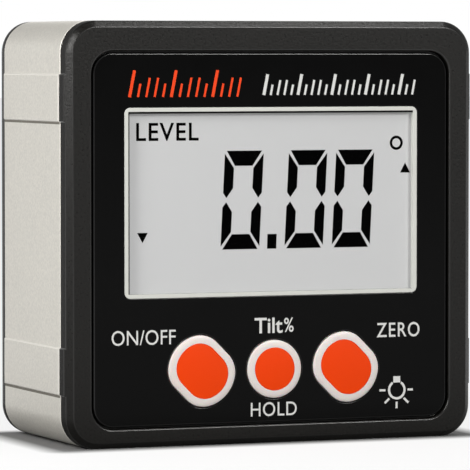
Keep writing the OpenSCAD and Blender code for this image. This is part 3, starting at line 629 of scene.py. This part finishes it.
class GAUGE_OT_display(bpy.types.Operator):
    """Draws the reading, its signs and the level word on the display"""

    bl_idname = "gauge.display"
    bl_label = "Display"

    def execute(self, context):
        sizes, colours = context.scene.gauge_sizes, context.scene.gauge_colours
        # Switched-on liquid crystal: flat black under the film.
        crystal = surface("dark_liquid_crystal", colours.display_ink, 0.6, grit=0.3, mottle=0.05,
                          Specular_IOR_Level=0.0)
        front = front_of("display_glass") - sizes.ink
        body = BODY_OF["display_glass"]
        high, wide = sizes.digit_height / MM, sizes.digit_width / MM
        lean, base = sizes.digit_lean, sizes.digit_base / MM
        # One corner's worth of a digit: the upper bar and the upper left bar, mirrored for the others.
        bar = np.array([(0.2, high), (wide - 0.2, high), (wide - 1.47, high - 2.0), (1.47, high - 2.0)])
        post = np.array([(-0.05, high - 0.4), (1.33, high - 2.3), (1.33, high - 4.95), (0.45, high - 6.24),
                         (-0.05, high - 5.58)])
        digit = [bar, bar * (1, -1) + (0, high)]
        for flip_x in (False, True):
            for flip_z in (False, True):
                digit.append(np.column_stack([wide - post[:, 0] if flip_x else post[:, 0],
                                              high - post[:, 1] if flip_z else post[:, 1]]))
        outlines = [np.column_stack([left + part[:, 0] + lean * (part[:, 1] - high / 2), base + part[:, 1]])
                    for left in (-6.77, 2.41, 9.27) for part in digit]
        point = [(-0.48, base), (0.84, base), (0.9, base + 1.95), (-0.42, base + 1.95)]
        up, down = [(18.9, 35.7), (20.36, 35.7), (19.63, 37.05)], [(-18.92, 28.18), (-17.45, 28.18), (-18.18, 26.85)]
        degree = [arc_band((18.33, 39.72), 0.96, 0.6, start, start + 180) for start in (0, 180)]
        outlines += [point, up, down, *degree]
        reading = mesh_object("display_reading", *plates(outlines, front, sizes.ink), crystal, body, smooth=False)
        word = lettering("display_level_word", "LEVEL", (-19.05, -10.25), (40.22, 42.6), front, sizes.ink, 0.013,
                         crystal, body, 1.12)
        return {"FINISHED"}


class GAUGE_OT_print(bpy.types.Operator):
    """Prints the key labels, the lamp sign and the scale marks on the panel"""

    bl_idname = "gauge.print"
    bl_label = "Print"

    def execute(self, context):
        sizes, colours = context.scene.gauge_sizes, context.scene.gauge_colours
        # Screen-printed ink: a thin satin film with a slightly uneven edge tone.
        white_ink = surface("white_screen_ink", colours.print_white, 0.5, grit=0.2, mottle=0.04,
                            Specular_IOR_Level=0.25)
        orange_ink = surface("orange_screen_ink", colours.orange, 0.5, grit=0.2, mottle=0.04,
                             Specular_IOR_Level=0.25)
        front = front_of("front_panel") - sizes.ink
        body = BODY_OF["front_panel"]
        for name, text, x, z, weight, spacing in (
                ("label_on_off", "ON/OFF", (-22.84, -13.86), (13.5, 15.45), 0.002, 1.03),
                ("label_zero", "ZERO", (15.12, 21.42), (13.64, 15.6), 0.008, 1.14),
                ("label_tilt", "Tilt", (-2.62, 1.42), (14.6, 16.68), 0.014, 1.0),
                ("label_per_cent", "%", (1.62, 3.0), (14.7, 16.62), 0.008, 1.0),
                ("label_hold", "HOLD", (-3.16, 3.46), (3.58, 5.44), 0.003, 1.07)):
            lettering(name, text, x, z, front, sizes.ink, weight, white_ink, body, spacing)
        # The lamp sign: a ring that is open at the top, its socket there, and five rays.
        lamp, line = (18.08, 6.5), 0.3
        rays = (((15.54, 6.5), (16.42, 6.5)), ((19.68, 6.5), (20.46, 6.5)), ((16.3, 4.76), (16.98, 5.36)),
                ((19.8, 4.74), (19.12, 5.38)), ((18.06, 4.92), (18.06, 4.02)))
        sign = [arc_band(lamp, 1.3, 0.98, -238, -90), arc_band(lamp, 1.3, 0.98, -90, 58),
                rectangle(17.56, 18.6, 7.5, 8.34), *[stroke(inner, outer, line) for inner, outer in rays]]
        mesh_object("label_lamp", *plates(sign, front, sizes.ink), white_ink, body, smooth=False)
        # Leaning scale marks: every fifth is long, and the two in the middle between them are of medium length.
        for name, ink, slot, first, last, low, high, gap in (
                ("scale_marks_orange", orange_ink, "key_orange", -20.3, -5.1, 46.0, 49.5, 1.17),
                ("scale_marks_white", white_ink, "white_trim", -1.3, 20.3, 46.2, 48.95, 0.98)):
            places = np.arange(first, last + 0.01, gap)
            marks = []
            for i, x in enumerate(places):
                top = high if i % 5 == 0 else low + (high - low) * (0.72 if i % 5 in (2, 3) else 0.5)
                marks.append(stroke((x, low), (x + 0.2 * (top - low), top), 0.42 if i % 5 == 0 else 0.3))
            mesh_object(name, *plates(marks, front, sizes.ink), ink, body, smooth=False)
        return {"FINISHED"}


class GAUGE_OT_stage(bpy.types.Operator):
    """Sets the floor, the soft light and the camera"""

    bl_idname = "gauge.stage"
    bl_label = "Stage"

    def execute(self, context):
        scene = context.scene
        sizes = scene.gauge_sizes
        scene.view_settings.view_transform = "Standard"
        self.floor()
        self.world(scene)
        # Soft discs: place and size in metres, power in watts.
        for name, place, size, power in (
                ("front_light", (0.23, -0.5, 0.28), 0.15, 1.9),
                ("corner_light", (-0.31, -0.15, 0.3), 0.13, 0.63),
                ("top_light", (0.19, -0.03, 0.5), 0.1, 0.3),
                ("side_light", (-0.19, -0.075, 0.095), 0.08, 0.2),
                ("back_light", (0.3, 0.45, 0.25), 0.45, 0.38)):
            lamp = bpy.data.lights.new(name, "AREA")
            lamp.shape = "DISK"
            lamp.size = size
            lamp.energy = power
            lamp.color = LAMP_TINT
            holder = bpy.data.objects.new(name, lamp)
            holder.location = place
            holder.rotation_euler = (LAMP_AIM - Vector(place)).to_track_quat("-Z", "Y").to_euler()
            scene.collection.objects.link(holder)
        lens = bpy.data.cameras.new("camera")
        lens.sensor_width = 36
        lens.lens = 314.7
        lens.clip_start = 0.01
        camera = bpy.data.objects.new("camera", lens)
        camera.location = sizes.view_place
        camera.rotation_euler = (math.pi / 2 - sizes.view_tilt, 0, -sizes.view_turn)
        scene.collection.objects.link(camera)
        scene.camera = camera
        return {"FINISHED"}

    def floor(self):
        """A wide floor that is white to the eye, to gloss and through glass, which keeps the gauge's shadow and adds
        painted shade beside it.

        The white fades in with the distance from the footprint: the length of what the place lies beyond its half
        sizes, so the floor next to the gauge is darker, a painted contact shadow. It does so over a longer way in
        what the metal mirrors, which paints that shade wider in the metal's reflection.
        """
        size = 4.0
        mesh = bpy.data.meshes.new("floor")
        mesh.from_pydata([(x, y, 0) for x, y in rectangle(-size, size, -size, size)], [], [(0, 1, 2, 3)])
        floor = bpy.data.objects.new("floor", mesh)
        bpy.context.scene.collection.objects.link(floor)
        # Matt paper: plain and pale, with no gloss of its own.
        material = bpy.data.materials.new("pale_paper")
        material.use_nodes = True
        tree = material.node_tree
        shader = tree.nodes["Principled BSDF"]
        shader.inputs["Base Color"].default_value = (0.22, 0.22, 0.22, 1)
        shader.inputs["Roughness"].default_value = 0.9
        shader.inputs["Specular IOR Level"].default_value = 0.0
        rays = add_node(tree, "ShaderNodeLightPath").outputs
        seen = add_node(tree, "ShaderNodeMath", {0: rays["Is Camera Ray"], 1: rays["Is Transmission Ray"]},
                        operation="MAXIMUM")
        high = CAD_BOX[1]
        place = add_node(tree, "ShaderNodeVectorMath", {0: add_node(tree, "ShaderNodeTexCoord").outputs["Object"]},
                         operation="ABSOLUTE")
        beyond = add_node(tree, "ShaderNodeVectorMath", {0: place.outputs[0], 1: (high[0], high[1], 1)},
                          operation="SUBTRACT")
        outside = add_node(tree, "ShaderNodeVectorMath", {0: beyond.outputs[0], 1: (0, 0, 0)}, operation="MAXIMUM")
        away = add_node(tree, "ShaderNodeVectorMath", {0: outside.outputs[0]}, operation="LENGTH")
        strength = []
        # Painted shade: near the footprint the white is held back, over 4 mm to the eye and over 5 cm in what the
        # metal mirrors.
        for ray, start, end in ((seen.outputs[0], 0.0003, 0.004), (rays["Is Glossy Ray"], 0.002, 0.05)):
            white = add_node(tree, "ShaderNodeMapRange", {"Value": away.outputs["Value"], "From Min": start,
                                                          "From Max": end, "To Min": 0.0, "To Max": 0.74})
            strength.append(add_node(tree, "ShaderNodeMath", {0: ray, 1: white.outputs["Result"]},
                                     operation="MULTIPLY").outputs[0])
        lift = add_node(tree, "ShaderNodeMath", {0: strength[0], 1: strength[1]}, operation="MAXIMUM")
        shader.inputs["Emission Color"].default_value = (1, 1, 1, 1)
        tree.links.new(lift.outputs[0], shader.inputs["Emission Strength"])
        floor.data.materials.append(material)

    def world(self, scene):
        """A soft grey surround with a white patch behind the gauge, like a lit paper."""
        world = bpy.data.worlds.new("studio")
        world.use_nodes = True
        tree = world.node_tree
        sky = tree.nodes["Background"]
        way = add_node(tree, "ShaderNodeSeparateXYZ", {0: add_node(tree, "ShaderNodeTexCoord").outputs["Generated"]})
        behind = add_node(tree, "ShaderNodeMapRange", {"Value": way.outputs["Y"], "From Min": 0.6, "From Max": 0.85},
                          interpolation_type="SMOOTHSTEP")
        height = add_node(tree, "ShaderNodeMath", {0: way.outputs["Z"]}, operation="ABSOLUTE")
        low = add_node(tree, "ShaderNodeMapRange", {"Value": height.outputs[0], "From Min": 0.1, "From Max": 0.4,
                                                    "To Min": 1.0, "To Max": 0.0}, interpolation_type="SMOOTHSTEP")
        paper = add_node(tree, "ShaderNodeMath", {0: behind.outputs["Result"], 1: low.outputs["Result"]},
                         operation="MULTIPLY")
        level = add_node(tree, "ShaderNodeMapRange", {"Value": paper.outputs[0], "To Min": 0.3, "To Max": 1.0})
        sky.inputs["Color"].default_value = (1, 1, 1, 1)
        tree.links.new(level.outputs["Result"], sky.inputs["Strength"])
        scene.world = world


class GAUGE_PT_panel(bpy.types.Panel):
    """Lists the steps that dress the gauge"""

    bl_label = "Angle gauge"
    bl_idname = "GAUGE_PT_panel"
    bl_space_type = "VIEW_3D"
    bl_region_type = "UI"
    bl_category = "Angle gauge"

    def draw(self, context):
        for step in STEPS:
            self.layout.operator(step.bl_idname)
        for group in (context.scene.gauge_sizes, context.scene.gauge_colours):
            for name in group.__annotations__:
                self.layout.prop(group, name)


STEPS = (GAUGE_OT_case, GAUGE_OT_inside, GAUGE_OT_cells, GAUGE_OT_keys, GAUGE_OT_display, GAUGE_OT_print,
         GAUGE_OT_stage)
CLASSES = (GaugeSizes, GaugeColours, *STEPS, GAUGE_PT_panel)


def register():
    for cls in CLASSES:
        bpy.utils.register_class(cls)
    bpy.types.Scene.gauge_sizes = PointerProperty(type=GaugeSizes)
    bpy.types.Scene.gauge_colours = PointerProperty(type=GaugeColours)


def unregister():
    del bpy.types.Scene.gauge_colours
    del bpy.types.Scene.gauge_sizes
    for cls in reversed(CLASSES):
        bpy.utils.unregister_class(cls)


def main():
    """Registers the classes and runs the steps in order."""
    register()
    for step in STEPS:
        group, name = step.bl_idname.split(".")
        getattr(getattr(bpy.ops, group), name)()


if __name__ == "__main__":
    main()
